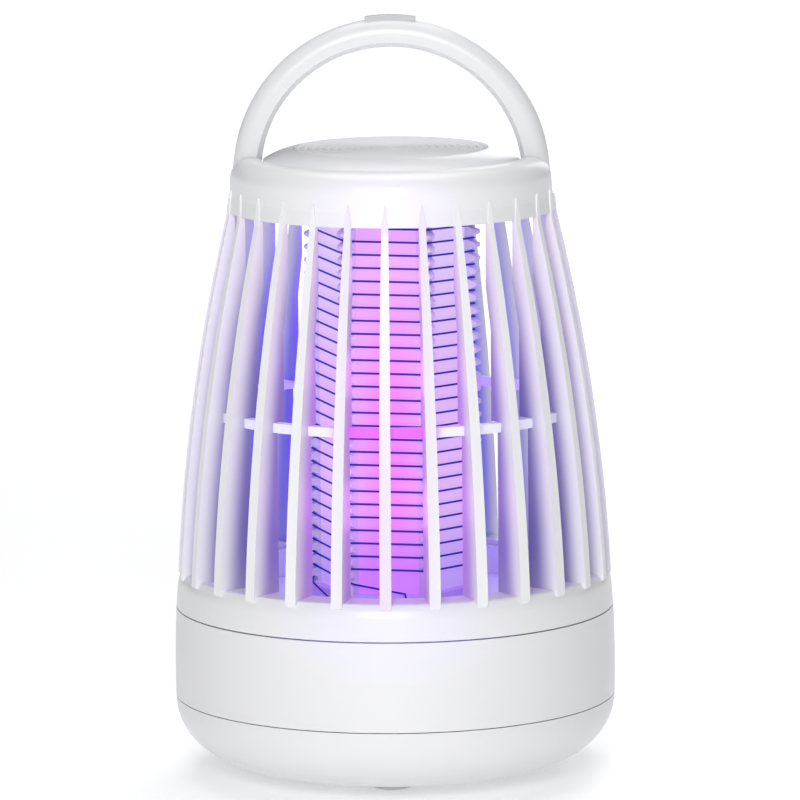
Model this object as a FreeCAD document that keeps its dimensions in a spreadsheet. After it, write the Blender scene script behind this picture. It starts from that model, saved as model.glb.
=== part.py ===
import FreeCAD, Part

import math
import os

import Sketcher

# Lantern-style electric bug zapper, in millimetres.
# +Z is up, the front is -Y, and the origin is on the floor under the middle of the feet.
# Angles named "azimuth" start at the front (-Y) and grow towards +X.

Vector = FreeCAD.Vector

SIZES = {
    # base, from the floor up
    "foot_radius": 6.0,
    "foot_recess": 1.0,
    "foot_circle": 30.0,
    "bowl_bottom": 3.4,
    "bowl_top": 23.4,
    "bowl_corner_radius": 18.6,
    "bowl_corner_angle": 51.0,
    "wall": 2.4,
    "seam_gap": 0.4,
    "base_radius": 66.15,
    "base_top_radius": 65.8,
    "base_side_bulge": 350.0,
    "base_top": 50.2,
    "boss_top": 13.0,
    "deck_top": 51.4,
    "deck_thickness": 2.2,
    "collar_radius": 53.1,
    "collar_top": 59.8,
    "collar_wall": 1.8,
    # bayonet between collar and cage
    "lug_width": 5.0,
    "lug_bottom": 54.0,
    "lug_depth": 2.0,
    "lug_reach": 1.6,
    "lug_clearance": 0.3,
    "unlock_travel": 12.8,
    # cage
    "ring_inner": 53.6,
    "ring_top": 61.4,
    "ring_outer": 65.7,
    "blade_bottom": 58.8,
    "blade_tip": 176.8,
    "blade_edge_radius": 600.0,
    "blade_top_radius": 49.4,
    "blade_tip_radius": 48.8,
    "blade_inner": 47.6,
    "blade_inner_middle": 50.2,
    "blade_slant_low": 138.6,
    "blade_slant_high": 151.3,
    "blade_count": 28.0,
    "mid_ring_outer": 55.5,
    "mid_ring_inner": 52.5,
    "mid_ring_top": 112.0,
    "mid_ring_depth": 2.8,
    # cap
    "cap_bottom": 170.2,
    "cap_bottom_radius": 49.05,
    "cap_floor": 172.9,
    "ledge": 174.5,
    "ledge_radius": 48.45,
    "shoulder_radius": 48.2,
    "shoulder_top": 185.9,
    "shoulder_round": 6.0,
    "lip_radius": 40.0,
    "lip_inner": 38.8,
    "slot_half_width": 5.1,
    "dome_radius": 38.3,
    "dome_edge": 184.9,
    "dome_round": 22.0,
    "dome_wall": 1.6,
    "disc_radius": 28.9,
    "disc_top": 188.3,
    "disc_thickness": 1.2,
    "groove_pitch": 2.3,
    # handle
    "pivot_height": 179.6,
    "handle_outer": 47.4,
    "handle_inner": 39.1,
    "handle_half_thickness": 4.7,
    "handle_bevel": 1.3,
    "handle_round": 4.3,
    "pad_height": 1.0,
    "pad_half_width": 2.4,
    "pad_angle": 18.0,
    "pin_radius": 2.0,
    "pin_clearance": 0.06,
    # column
    "column_turn": -2.6,
    "comb_tip": 26.5,
    "notch_radius": 24.2,
    "diffuser_radius": 23.2,
    "diffuser_wall": 1.4,
    "comb_half_width": 2.6,
    "skirt_top": 56.6,
    "comb_top": 169.6,
    "head_top": 172.2,
    "wire_pitch": 3.94,
    "wire_radius": 0.3,
    "winding_top": 168.2,
    "winding_rows": 27.0,
    "left_face_drop": 1.5,
    "front_face_drop": 0.5,
    "right_face_drop": 1.1,
    # base internals
    "battery_radius": 9.2,
    "battery_length": 65.0,
    "battery_height": 16.6,
    "battery_setback": -15.0,
    "board_height": 30.0,
    "board_thickness": 1.6,
    "button_radius": 4.0,
    "button_azimuth": 16.0,
    "button_height": 37.0,
}

FOOT_COUNT = 4
SCREW_COUNT = 3
CORNERS = 6
CORNER_RATIO = 2 / math.sqrt(3)

# charging socket, rear light and the board's outline and screw places
SOCKET_WIDTH = 8.9
SOCKET_HEIGHT = 3.2
LIGHT_AZIMUTH = -12.0
BOARD_WIDTH = 52.0
BOARD_DEPTH = 22.0
BOARD_MIDDLE = 46.0
BOARD_SCREWS = ((-23.0, 38.0), (23.0, 38.0))

# circle of the screws that hold the column to the deck
COLUMN_SCREW_CIRCLE = 14.0

# places on the deck where the two high-voltage leads end
TERMINALS = ((5.0, -26.5), (-17.0, -23.0))
RIVET_HEIGHT = 1.2

doc = FreeCAD.newDocument("bug_zapper")
sheet = doc.addObject("Spreadsheet::Sheet", "Sizes")
for row, (alias, value) in enumerate(SIZES.items(), start=1):
    sheet.set(f"A{row}", alias)
    sheet.set(f"B{row}", str(value))
    sheet.setAlias(f"B{row}", alias)
doc.recompute()

nodes = []


class Dim:
    """A length that carries its value and the sheet expression that it comes from."""

    def __init__(self, value, text):
        self.value = float(value)
        self.text = text

    def __add__(self, other):
        other = as_dim(other)
        return Dim(self.value + other.value, f"({self.text} + {other.text})")

    def __sub__(self, other):
        other = as_dim(other)
        return Dim(self.value - other.value, f"({self.text} - {other.text})")

    def __mul__(self, other):
        other = as_dim(other)
        return Dim(self.value * other.value, f"({self.text} * {other.text})")

    def __neg__(self):
        return Dim(-self.value, f"(0 - {self.text})")


def as_dim(value):
    return value if isinstance(value, Dim) else Dim(value, f"{float(value):.4f}")


def dim(alias):
    return Dim(sheet.get(alias), f"Sizes.{alias}")


def size(alias):
    return float(sheet.get(alias))


def at_azimuth(radius, azimuth, height=0.0):
    """Point at a radius and azimuth (degrees from the front, growing towards +X)."""
    turn = math.radians(azimuth)
    return Vector(radius * math.sin(turn), -radius * math.cos(turn), height)


# ---------------------------------------------------------------- document helpers


def new_body(label, is_node=True):
    body = doc.addObject("PartDesign::Body", label)
    body.Label = label
    if is_node:
        nodes.append(body)
    return body


def bind(feature, prop, length):
    length = as_dim(length)
    feature.setExpression(prop, length.text)


def new_sketch(body, role, offset=None):
    """Sketch on one of the body's own origin planes, moved along the plane's normal."""
    sketch = body.newObject("Sketcher::SketchObject", f"{body.Name}_sketch")
    plane = next(item for item in body.Origin.OriginFeatures if item.Role == role)
    sketch.AttachmentSupport = [(plane, "")]
    sketch.MapMode = "FlatFace"
    if offset is not None:
        sketch.setExpression(".AttachmentOffset.Base.z", as_dim(offset).text)
    return sketch


def fix_point(sketch, geometry, position, point):
    """Tie a sketch point to the origin by distances bound to the sheet."""
    for kind, length in (("DistanceX", point[0]), ("DistanceY", point[1])):
        index = sketch.addConstraint(Sketcher.Constraint(kind, -1, 1, geometry, position, length.value))
        sketch.setExpression(f"Constraints[{index}]", length.text)


def arc_between(start, end, radius):
    """Circle arc from start to end; a positive radius bulges to the right of the way from start to end."""
    chord = end - start
    middle = (start + end) * 0.5
    rise = math.sqrt(max(radius * radius - chord.Length ** 2 / 4, 0.0))
    left = Vector(-chord.y, chord.x, 0).normalize()
    centre = middle + left * math.copysign(rise, radius)
    first, last = (start, end) if radius > 0 else (end, start)
    angle = math.atan2(first.y - centre.y, first.x - centre.x)
    stop = math.atan2(last.y - centre.y, last.x - centre.x)
    while stop < angle:
        stop += 2 * math.pi
    circle = Part.Circle(centre, Vector(0, 0, 1), abs(radius))
    return Part.ArcOfCircle(circle, angle, stop)


def add_outline(sketch, points, arcs=None):
    """Closed outline through the points; arcs maps a side's index to its signed radius."""
    arcs = arcs or {}
    corners = [(as_dim(x), as_dim(y)) for x, y in points]
    places = [Vector(x.value, y.value, 0) for x, y in corners]
    ends = []
    for index, start in enumerate(places):
        end = places[(index + 1) % len(places)]
        if index in arcs:
            radius = as_dim(arcs[index])
            side = sketch.addGeometry(arc_between(start, end, radius.value))
            ends.append((side, 1, 2) if radius.value > 0 else (side, 2, 1))
        else:
            side = sketch.addGeometry(Part.LineSegment(start, end))
            ends.append((side, 1, 2))
    for index, (side, first, last) in enumerate(ends):
        following = ends[(index + 1) % len(ends)]
        sketch.addConstraint(Sketcher.Constraint("Coincident", side, last, following[0], following[1]))
        fix_point(sketch, side, first, corners[index])
    for index, radius in arcs.items():
        side = ends[index][0]
        length = as_dim(radius) if as_dim(radius).value > 0 else -as_dim(radius)
        number = sketch.addConstraint(Sketcher.Constraint("Radius", side, length.value))
        sketch.setExpression(f"Constraints[{number}]", length.text)
    return sketch


def add_circle(sketch, centre, radius):
    x, y = as_dim(centre[0]), as_dim(centre[1])
    radius = as_dim(radius)
    circle = Part.Circle(Vector(x.value, y.value, 0), Vector(0, 0, 1), radius.value)
    index = sketch.addGeometry(circle)
    fix_point(sketch, index, 3, (x, y))
    number = sketch.addConstraint(Sketcher.Constraint("Radius", index, radius.value))
    sketch.setExpression(f"Constraints[{number}]", radius.text)
    return sketch


def polygon(radius):
    """Corners of a regular hexagon as lengths bound to the sheet."""
    angles = [math.radians(60.0 * step) for step in range(CORNERS)]
    return [(radius * math.cos(angle), radius * math.sin(angle)) for angle in angles]


def revolve(body, points, arcs=None, role="XZ_Plane", kind="Revolution", angle=360.0, axis="V_Axis"):
    sketch = add_outline(new_sketch(body, role), points, arcs)
    feature = body.newObject(f"PartDesign::{kind}", f"{body.Name}_{kind.lower()}")
    feature.Profile = sketch
    feature.ReferenceAxis = (sketch, [axis])
    if angle < 360.0:
        feature.Midplane = True
    feature.Angle = angle
    return feature


def extrude(body, sketch, length, kind="Pad", backwards=False, symmetric=False):
    feature = body.newObject(f"PartDesign::{kind}", f"{body.Name}_{kind.lower()}")
    feature.Profile = sketch
    feature.SideType = "Symmetric" if symmetric else "One side"
    feature.Reversed = backwards
    bind(feature, "Length", length)
    return feature


def repeat_round(body, features, count, whole=False):
    """Repeat features, or the whole body so far, round the vertical axis."""
    doc.recompute()
    pattern = body.newObject("PartDesign::PolarPattern", f"{body.Name}_pattern")
    if whole:
        pattern.TransformMode = "Whole shape"
    else:
        pattern.Originals = features
    axis = next(item for item in body.Origin.OriginFeatures if item.Role == "Z_Axis")
    pattern.Axis = (axis, [""])
    pattern.Angle = 360.0
    pattern.Occurrences = count
    body.Tip = pattern
    return pattern


def place(item, x, y, z):
    """Put an object at a point bound to the sheet."""
    for axis, length in (("x", x), ("y", y), ("z", z)):
        item.setExpression(f".Placement.Base.{axis}", as_dim(length).text)
    return item


def box(name, length, width, height, x=0.0, y=0.0, z=0.0):
    """Part::Box centred on x and y, standing on z."""
    item = doc.addObject("Part::Box", name)
    bind(item, "Length", length)
    bind(item, "Width", width)
    bind(item, "Height", height)
    length, width = as_dim(length), as_dim(width)
    return place(item, as_dim(x) - length * 0.5, as_dim(y) - width * 0.5, z)


def cylinder(name, radius, height, x=0.0, y=0.0, z=0.0):
    item = doc.addObject("Part::Cylinder", name)
    bind(item, "Radius", radius)
    bind(item, "Height", height)
    return place(item, x, y, z)


def as_node(item, label):
    item.Label = label
    nodes.append(item)
    return item


def fuse(label, items):
    item = doc.addObject("Part::MultiFuse", label)
    item.Shapes = items
    return item


def cut(label, base, tool):
    item = doc.addObject("Part::Cut", label)
    item.Base = base
    item.Tool = tool
    return item


def group(label, solids):
    """Node of separate solids that Part's own functions have worked out."""
    item = doc.addObject("Part::Feature", label)
    item.Shape = Part.makeCompound(solids)
    item.Placement = FreeCAD.Placement()
    return as_node(item, label)


# ---------------------------------------------------------------- base


def make_bottom_cover():
    """Bowl-shaped underside with four counterbored bosses."""
    body = new_body("bottom_cover")
    corner = size("bowl_corner_radius")
    angle = math.radians(size("bowl_corner_angle"))
    height = size("bowl_top") - size("bowl_bottom")
    sweep = (height - corner * math.sin(angle)) / (1 - math.sin(angle))
    joint_in = corner * (1 - math.cos(angle))
    joint_down = corner * math.sin(angle)
    flat = dim("base_radius") - corner - (sweep - corner) * math.cos(angle)
    wall = dim("wall")
    top, bottom, outer = dim("bowl_top"), dim("bowl_bottom"), dim("base_radius")
    slope_in = wall * math.cos(angle)
    slope_up = wall * math.sin(angle)
    points = [
        (0, bottom),
        (flat, bottom),
        (outer - joint_in, top - joint_down),
        (outer, top),
        (outer - wall, top),
        (outer - joint_in - slope_in, top - joint_down + slope_up),
        (flat, bottom + wall),
        (0, bottom + wall),
    ]
    arcs = {1: sweep, 2: corner, 4: -(as_dim(corner) - wall), 5: -(as_dim(sweep) - wall)}
    revolve(body, points, arcs)
    floor = bottom + wall
    boss = add_circle(new_sketch(body, "XY_Plane", floor), (0, -dim("foot_circle")), 5.0)
    pad = extrude(body, boss, dim("boss_top") - floor)
    repeat_round(body, [pad], FOOT_COUNT)
    posts = new_sketch(body, "XY_Plane", floor - 1.0)
    pilots = new_sketch(body, "XY_Plane", dim("board_height") - 8.0)
    for spot in BOARD_SCREWS:
        add_circle(posts, spot, 2.8)
        add_circle(pilots, spot, 1.2)
    extrude(body, posts, dim("board_height") - floor + 1.0)
    extrude(body, pilots, 9.0, "Pocket", backwards=True)
    drillings = (
        (dim("foot_radius") + 0.1, bottom + dim("foot_recess")),
        (as_dim(3.2), as_dim(9.0)),
        (as_dim(1.7), dim("boss_top") + 0.5),
    )
    for radius, depth in drillings:
        hole = add_circle(new_sketch(body, "XY_Plane", bottom - 1.0), (0, -dim("foot_circle")), radius)
        pocket = extrude(body, hole, depth - bottom + 1.0, "Pocket", backwards=True)
        repeat_round(body, [pocket], FOOT_COUNT)


def make_base_shell():
    """Side wall between the two seams, with the button, charging and light openings at the rear."""
    body = new_body("base_shell_wall", is_node=False)
    low = dim("bowl_top") + dim("seam_gap") * 0.75
    top = dim("base_top")
    outer, top_outer, wall = dim("base_radius"), dim("base_top_radius"), dim("wall")
    points = [(outer, low), (top_outer, top), (top_outer - wall, top), (outer - wall, low)]
    revolve(body, points, {0: dim("base_side_bulge"), 2: -(dim("base_side_bulge") - wall)})
    # the charging opening is cut from the middle outwards through the rear wall
    low = dim("board_height") + dim("board_thickness") - 0.3
    high = low + SOCKET_HEIGHT + 0.6
    half = SOCKET_WIDTH / 2 + 0.3
    opening = [(-half, low), (half, low), (half, high), (-half, high)]
    extrude(body, add_outline(new_sketch(body, "XZ_Plane"), opening), 80.0, "Pocket")
    azimuth = size("button_azimuth")
    button = radial_cylinder(
        "button_hole", dim("button_radius") + 0.3, dim("button_height"), azimuth, 58.0, 12.0)
    light = radial_cylinder("light_hole", 1.5, dim("button_height"), LIGHT_AZIMUTH, 58.0, 12.0)
    as_node(cut("base_shell_cut", body, fuse("rear_holes", [button, light])), "base_shell")


def radial_cylinder(name, radius, height, azimuth, start, length):
    """Cylinder that lies along a radius, for holes and buttons at the rear (azimuth from +Y towards +X)."""
    item = doc.addObject("Part::Cylinder", name)
    bind(item, "Radius", radius)
    bind(item, "Height", length)
    turn = math.radians(azimuth)
    outward = Vector(math.sin(turn), math.cos(turn), 0)
    start = as_dim(start)
    item.setExpression(".Placement.Base.x", (start * outward.x).text)
    item.setExpression(".Placement.Base.y", (start * outward.y).text)
    item.setExpression(".Placement.Base.z", as_dim(height).text)
    item.Placement.Rotation = FreeCAD.Rotation(Vector(0, 0, 1), outward)
    return item


def make_deck_plate():
    """Floor of the cage: collar with bayonet slots, outer flange and long screw posts."""
    body = new_body("deck_plate")
    top, thick = dim("deck_top"), dim("deck_thickness")
    collar, wall = dim("collar_radius"), dim("collar_wall")
    flange = dim("base_top")
    rim = dim("base_top_radius") - dim("wall") - 0.2
    points = [
        (0, top - thick), (0, top), (collar - wall, top), (collar - wall, dim("collar_top")),
        (collar, dim("collar_top")), (collar, flange), (rim, flange), (rim, flange - thick),
        (collar - wall, flange - thick), (collar - wall - 1.2, top - thick),
    ]
    revolve(body, points)
    post = add_circle(new_sketch(body, "XY_Plane", dim("boss_top") + 0.2), (0, -dim("foot_circle")), 4.0)
    pad = extrude(body, post, top - dim("boss_top") - 1.0)
    repeat_round(body, [pad], FOOT_COUNT)
    pilot = add_circle(new_sketch(body, "XY_Plane", dim("boss_top")), (0, -dim("foot_circle")), 1.5)
    pocket = extrude(body, pilot, 12.0, "Pocket", backwards=True)
    repeat_round(body, [pocket], FOOT_COUNT)
    screw = at_azimuth(COLUMN_SCREW_CIRCLE, size("column_turn"))
    hole = add_circle(new_sketch(body, "XY_Plane", top - 5.0), (screw.x, screw.y), 1.6)
    pocket = extrude(body, hole, 10.0, "Pocket", backwards=True)
    repeat_round(body, [pocket], SCREW_COUNT)
    holes = add_circle(new_sketch(body, "XY_Plane", top - 5.0), (0, 0), 5.0)
    for spot in TERMINALS:
        add_circle(holes, spot, 1.0)
    extrude(body, holes, 10.0, "Pocket", backwards=True)
    # each bayonet slot is a level run with an open entry at its far end
    half = dim("lug_width") * 0.5 + dim("lug_clearance")
    low = dim("lug_bottom") - dim("lug_clearance")
    high = dim("lug_bottom") + dim("lug_depth") + dim("lug_clearance")
    far = dim("unlock_travel") + half
    points = [
        (-half, low), (far, low), (far, dim("collar_top") + 1.0),
        (dim("unlock_travel") - half, dim("collar_top") + 1.0), (dim("unlock_travel") - half, high),
        (-half, high),
    ]
    slot = add_outline(new_sketch(body, "XZ_Plane", 40.0), points)
    pocket = extrude(body, slot, 20.0, "Pocket", backwards=True)
    repeat_round(body, [pocket], SCREW_COUNT)


def make_feet():
    """Four bumper feet with rounded lower edges, set into the underside."""
    body = new_body("rubber_feet")
    radius = dim("foot_radius")
    sketch = add_circle(new_sketch(body, "XY_Plane"), (0, -dim("foot_circle")), radius)
    pad = extrude(body, sketch, dim("bowl_bottom") + dim("foot_recess"))
    doc.recompute()
    rounded = body.newObject("PartDesign::Fillet", "foot_round")
    low = [f"Edge{n + 1}" for n, edge in enumerate(pad.Shape.Edges) if edge.BoundBox.ZMax < 0.01]
    rounded.Base = (pad, low)
    rounded.Radius = 1.2
    repeat_round(body, [], FOOT_COUNT, whole=True)


def make_screws(label, count, circle, head_z, head_radius, head_height, shank_radius, shank_length, up):
    """Ring of pan-head screws; the shank points up or down from the head's seat."""
    turned = new_body(f"{label}_one", is_node=False)
    sign = 1.0 if up else -1.0
    seat = as_dim(head_z)
    points = [
        (0, seat - head_height * sign), (as_dim(head_radius) - 0.5, seat - head_height * sign),
        (head_radius, seat - (head_height - 0.6) * sign), (head_radius, seat),
        (shank_radius, seat), (shank_radius, seat + shank_length * sign),
        (0, seat + shank_length * sign),
    ]
    revolve(turned, points)
    doc.recompute()
    recess = Part.makeCylinder(1.1, 1.0)
    recess.translate(Vector(0, 0, seat.value - head_height * sign - (0.0 if up else 1.0)))
    one = turned.Shape.cut(recess)
    solids = []
    for step in range(count):
        solid = one.copy()
        solid.translate(at_azimuth(as_dim(circle).value, 360.0 * step / count))
        solids.append(solid)
    return group(label, solids)


# ---------------------------------------------------------------- base internals


def make_battery():
    """Round cell lying across the base in a trough."""
    radius, length = dim("battery_radius"), dim("battery_length")
    cell = new_body("battery_cell")
    half = length * 0.5
    points = [
        (-half, 0), (-half, radius - 1.0), (-half + 1.0, radius), (half - 3.0, radius),
        (half - 2.0, radius - 1.2), (half - 2.0, 3.2), (half, 3.2), (half, 0),
    ]
    revolve(cell, points, axis="H_Axis")
    place(cell, 0, dim("battery_setback"), dim("battery_height"))
    floor = dim("bowl_bottom") + dim("wall")
    trough = box("trough", length + 6.0, radius * 2 + 1.2, 7.0, 0, dim("battery_setback"), floor)
    bed = doc.addObject("Part::Cylinder", "bed")
    bind(bed, "Radius", radius + 0.1)
    bind(bed, "Height", length + 0.4)
    place(bed, -(half + 0.2), dim("battery_setback"), dim("battery_height"))
    bed.Placement.Rotation = FreeCAD.Rotation(Vector(0, 0, 1), Vector(1, 0, 0))
    as_node(cut("cradle_cut", trough, bed), "battery_cradle")


def make_electronics():
    """Main board with its charging socket, switch, transformer and multiplier parts."""
    level = dim("board_height")
    top = level + dim("board_thickness")
    plate = box("board_plate", BOARD_WIDTH, BOARD_DEPTH, dim("board_thickness"), 0, BOARD_MIDDLE, level)
    drills = [cylinder(f"board_hole_{index}", 1.3, 4.0, x, y, level - 1.0)
              for index, (x, y) in enumerate(BOARD_SCREWS)]
    as_node(cut("board_cut", plate, fuse("board_holes", drills)), "main_pcb")

    socket = box("socket_shell", SOCKET_WIDTH, 10.0, SOCKET_HEIGHT, 0, 59.9, top)
    mouth = box("socket_mouth", 8.1, 8.0, 2.4, 0, 61.2, top + 0.4)
    tongue = box("socket_tongue", 6.6, 6.4, 0.7, 0, 60.2, top + 1.25)
    as_node(fuse("socket_body", [cut("socket_hollow", socket, mouth), tongue]), "usb_socket")

    core_middle = (-12.0, BOARD_MIDDLE - 1.0)
    block = box("core_block", 15.0, 6.0, 13.0, core_middle[0], core_middle[1], top)
    windows = []
    for side in (-1, 1):
        windows.append(box(f"core_window_{side + 1}", 3.2, 8.0, 8.0,
                           core_middle[0] + side * 4.1, core_middle[1], top + 2.5))
    as_node(cut("core_cut", block, fuse("core_windows", windows)), "hv_transformer_core")
    coil = box("coil_block", 11.0, 11.6, 7.8, core_middle[0], core_middle[1], top + 2.6)
    leg = box("coil_core", 5.0, 6.0, 9.0, core_middle[0], core_middle[1], top + 2.0)
    as_node(cut("coil_cut", coil, leg), "hv_transformer_coil")

    make_multiplier(top.value)


def make_multiplier(top):
    """Disc capacitors and diodes of the voltage multiplier, standing on the board."""
    discs, diodes = [], []
    for step in range(3):
        x = 0.5 + 6.0 * step
        disc = Part.makeCylinder(3.6, 2.4, Vector(x - 1.2, 42.0, top + 5.0), Vector(1, 0, 0))
        discs.append(disc)
    for step in range(3):
        x = -2.0 + 4.5 * step
        barrel = Part.makeCylinder(1.3, 4.6, Vector(x, 48.0, top + 1.4), Vector(0, 1, 0))
        diodes.append(barrel)
    group("multiplier_capacitors", discs)
    group("multiplier_diodes", diodes)


def make_board_screws():
    """Two screws through the board into posts under it."""
    solids = []
    top = size("board_height") + size("board_thickness")
    for x, y in BOARD_SCREWS:
        spot = Vector(x, y, 0)
        head = Part.makeCylinder(2.4, 1.6, spot + Vector(0, 0, top))
        shank = Part.makeCylinder(1.2, 7.6, spot + Vector(0, 0, top - 7.6))
        solids.append(head.fuse(shank))
    group("pcb_screws", solids)


def make_power_button():
    """Round button in the rear wall, a flange behind the wall and a stem to the switch."""
    azimuth = size("button_azimuth")
    height = dim("button_height")
    cap = radial_cylinder("button_cap", dim("button_radius"), height, azimuth, 62.0, 3.9)
    flange = radial_cylinder("button_flange", dim("button_radius") + 1.2, height, azimuth, 61.4, 1.2)
    stem = radial_cylinder("button_stem", 1.6, height, azimuth, 59.9, 2.0)
    as_node(fuse("button_fuse", [cap, flange, stem]), "power_button")
    make_tact_switch(azimuth, height)
    light = radial_cylinder("light_rod", 1.45, height, LIGHT_AZIMUTH, 57.0, 8.8)
    as_node(light, "charge_light_pipe")


def make_tact_switch(azimuth, height):
    """Push switch on its own small upright board behind the button."""
    plunger = radial_cylinder("switch_plunger", 1.7, height, azimuth, 56.0, 2.9)
    block = doc.addObject("Part::Box", "switch_block")
    board = doc.addObject("Part::Box", "switch_board")
    start = 53.4
    turn = math.radians(azimuth)
    outward = Vector(math.sin(turn), math.cos(turn), 0)
    across = Vector(math.cos(turn), -math.sin(turn), 0)
    sizes = ((block, 6.0, 3.4, 6.0, start), (board, 9.0, 1.3, 11.0, start - 1.2))
    for item, width, depth, tall, near in sizes:
        bind(item, "Length", width)
        bind(item, "Width", depth)
        bind(item, "Height", tall)
        corner = outward * near - across * (width / 2)
        corner.z = height.value - (3.0 if item is block else 5.4)
        item.Placement = FreeCAD.Placement(corner, FreeCAD.Rotation(Vector(0, 0, 1), -azimuth))
    as_node(fuse("switch_fuse", [plunger, block, board]), "tact_switch")


def make_battery_leads():
    """Two insulated wires from the cell's ends to the board."""
    leads = []
    half, level = size("battery_length") / 2, size("board_height")
    y, middle = size("battery_setback"), size("battery_height")
    for side in (-1, 1):
        path = [
            Vector(side * half, y, middle),
            Vector(side * (half + 1.4), y, middle),
            Vector(side * (half + 1.4), y, level - 2.0),
            Vector(side * 20.0, y + 12.0, level - 1.0),
            Vector(side * 14.0, BOARD_MIDDLE - 4.0, level - 0.8),
        ]
        lead = Part.makePolygon(path)
        disc = Part.Wire(Part.makeCircle(0.7, path[0], Vector(side, 0, 0)))
        leads.append(lead.makePipeShell([disc], True, False, 1))
    group("battery_leads", leads)


# ---------------------------------------------------------------- column


def column_place(item):
    item.Placement.Rotation = FreeCAD.Rotation(Vector(0, 0, 1), size("column_turn"))
    return item


def make_column_base():
    """Hollow six-sided skirt with a top plate and three screw bosses."""
    body = new_body("column_base")
    deck, top = dim("deck_top"), dim("skirt_top")
    outer = dim("comb_tip")
    extrude(body, add_outline(new_sketch(body, "XY_Plane", deck), polygon(outer)), top - deck)
    inner = add_outline(new_sketch(body, "XY_Plane", deck - 1.0), polygon(outer - 2.2))
    extrude(body, inner, top - deck - 0.6, "Pocket", backwards=True)
    boss = add_circle(new_sketch(body, "XY_Plane", deck), (0, -COLUMN_SCREW_CIRCLE), 3.4)
    pad = extrude(body, boss, top - deck - 1.0)
    repeat_round(body, [pad], SCREW_COUNT)
    pilot = add_circle(new_sketch(body, "XY_Plane", deck - 1.0), (0, -COLUMN_SCREW_CIRCLE), 1.5)
    pocket = extrude(body, pilot, top - deck + 0.2, "Pocket", backwards=True)
    repeat_round(body, [pocket], SCREW_COUNT)
    wires = add_circle(new_sketch(body, "XY_Plane", top - 4.0), (0, 0), 4.0)
    extrude(body, wires, 8.0, "Pocket", backwards=True)
    column_place(body)


def make_lamp_diffuser():
    """Milky six-sided tube."""
    body = new_body("lamp_diffuser")
    low, top, outer = dim("skirt_top"), dim("comb_top"), dim("diffuser_radius")
    extrude(body, add_outline(new_sketch(body, "XY_Plane", low), polygon(outer)), top - low)
    hollow = polygon(outer - dim("diffuser_wall") * CORNER_RATIO)
    inner = add_outline(new_sketch(body, "XY_Plane", low - 1.0), hollow)
    extrude(body, inner, top - low + 2.0, "Pocket", backwards=True)
    column_place(body)


def make_column_head():
    """Six-sided lid with a spigot that sits in the tube."""
    body = new_body("column_head")
    low, top = dim("comb_top"), dim("head_top")
    extrude(body, add_outline(new_sketch(body, "XY_Plane", low), polygon(dim("comb_tip"))), top - low)
    inner = polygon(dim("diffuser_radius") - dim("diffuser_wall") * CORNER_RATIO - 0.2)
    extrude(body, add_outline(new_sketch(body, "XY_Plane", low - 3.0), inner), 3.2)
    doc.recompute()
    column_place(body)


def corner_azimuth(corner):
    """Corner 0 is the left-hand one, and corners 1 and 2 bound the front face."""
    return size("column_turn") - 90.0 + 60.0 * corner


def row_height(row, corner):
    """Height of a row of the winding at a corner.

    There are two wires, so a row comes down by two pitches in a turn: by a set drop over
    each of the three faces at the front, and by equal shares of the rest over the others.
    """
    pitch = size("wire_pitch")
    drops = [size("left_face_drop"), size("front_face_drop"), size("right_face_drop")]
    drops += [(2 * pitch - sum(drops)) / 3] * 3
    return size("winding_top") - row * pitch - sum(drops[:corner])


def make_comb_posts():
    """Six corner posts; their teeth hold every turn of both wires."""
    low, top = size("skirt_top"), size("comb_top")
    tip, root, back = size("comb_tip"), size("notch_radius"), size("diffuser_radius")
    pitch, width = size("wire_pitch"), size("comb_half_width")
    throat = 0.4
    shoulder = 1.25
    posts = []
    for corner in range(CORNERS):
        heights = notch_heights(corner, low + shoulder, top - shoulder)
        outline = [Vector(back, 0, low), Vector(tip, 0, low)]
        for height in heights:
            outline.append(Vector(tip - 0.35, 0, height - shoulder))
            outline.append(Vector(root, 0, height - throat))
            outline.append(Vector(root, 0, height + throat))
            outline.append(Vector(tip - 0.35, 0, height + shoulder))
            outline.append(Vector(tip, 0, min(height + shoulder + 0.35, top)))
            outline.append(Vector(tip, 0, min(height + pitch - shoulder - 0.35, top)))
        outline = [point for point in outline if point.z < top - 0.4]
        outline += [Vector(tip, 0, top), Vector(back, 0, top)]
        profile = Part.Face(Part.makePolygon(outline + outline[:1]))
        halves = []
        for side in (-1, 1):
            along = Vector(-0.5 * width, side * math.sqrt(0.75) * width, 0)
            halves.append(profile.extrude(along))
        post = halves[0].fuse(halves[1]).removeSplitter()
        post.rotate(Vector(), Vector(0, 0, 1), corner_azimuth(corner) - 90.0)
        posts.append(post.Solids[0])
    group("comb_posts", posts)


def last_row(corner):
    """Lowest row at a corner: one wire stops at corner 0 and the other at corner 1."""
    return max(int(size("winding_rows")) + 1 - corner, int(size("winding_rows")) - 1)


def notch_heights(corner, low, top):
    """Heights of the notches on one post, from the bottom up."""
    heights = [row_height(row, corner) for row in range(last_row(corner), -3, -1)]
    return [height for height in heights if low < height < top]


def wind_wire(label, row, corner, start, lead_end):
    """One wire: from its start, over every second row of notches, and down its lead."""
    bend = size("notch_radius") + size("wire_radius") + 0.05
    points = [start]
    while row <= last_row(corner):
        points.append(at_azimuth(bend, corner_azimuth(corner), row_height(row, corner)))
        corner += 1
        if corner == CORNERS:
            corner = 0
            row += 2
    points += lead_bends(corner - 1, points[-1].z) + [lead_end]
    path = Part.makePolygon(points)
    disc = Part.Wire(Part.makeCircle(size("wire_radius"), points[0], points[1] - points[0]))
    solid = Part.Solid(path.makePipeShell([disc], True, False, 1))
    group(label, [solid])


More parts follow.
